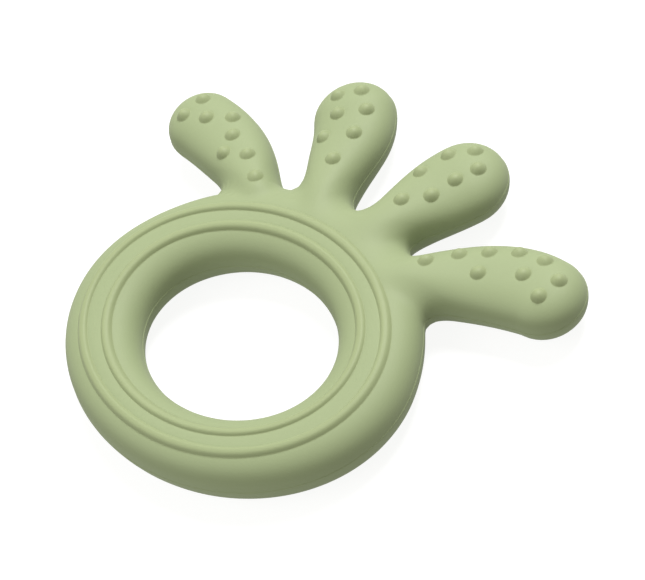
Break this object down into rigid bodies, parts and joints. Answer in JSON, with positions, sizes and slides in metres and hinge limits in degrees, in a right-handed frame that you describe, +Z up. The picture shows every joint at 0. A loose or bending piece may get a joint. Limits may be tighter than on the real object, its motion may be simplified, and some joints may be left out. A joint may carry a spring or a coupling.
{
  "type": "teething ring",
  "caption": "Silicone teether: an oval ring with raised beads on both faces and a fan of club-shaped arms covered in soft nubs.",
  "frame": {"origin": "on the axis of the hand hole, in the plane that the lower beads rest on", "axes": "+X across the fan of arms, +Y along the middle of the fan, away from the ring, +Z up"},
  "size_m": [0.1031, 0.089, 0.0131],
  "materials": {
    "silicone": "matte sage green silicone"
  },
  "bodies": {
    "root": {"ring_body": "silicone", "outer_bead_top": "silicone", "inner_bead_top": "silicone", "outer_bead_bottom": "silicone", "inner_bead_bottom": "silicone", "arm_left": "silicone", "arm_mid_left": "silicone", "arm_mid_right": "silicone", "arm_right": "silicone", "arm_left_nubs_top": "silicone", "arm_mid_left_nubs_top": "silicone", "arm_mid_right_nubs_top": "silicone", "arm_right_nubs_top": "silicone", "arm_left_nubs_bottom": "silicone", "arm_mid_left_nubs_bottom": "silicone", "arm_mid_right_nubs_bottom": "silicone", "arm_right_nubs_bottom": "silicone"}
  },
  "joints": []
}
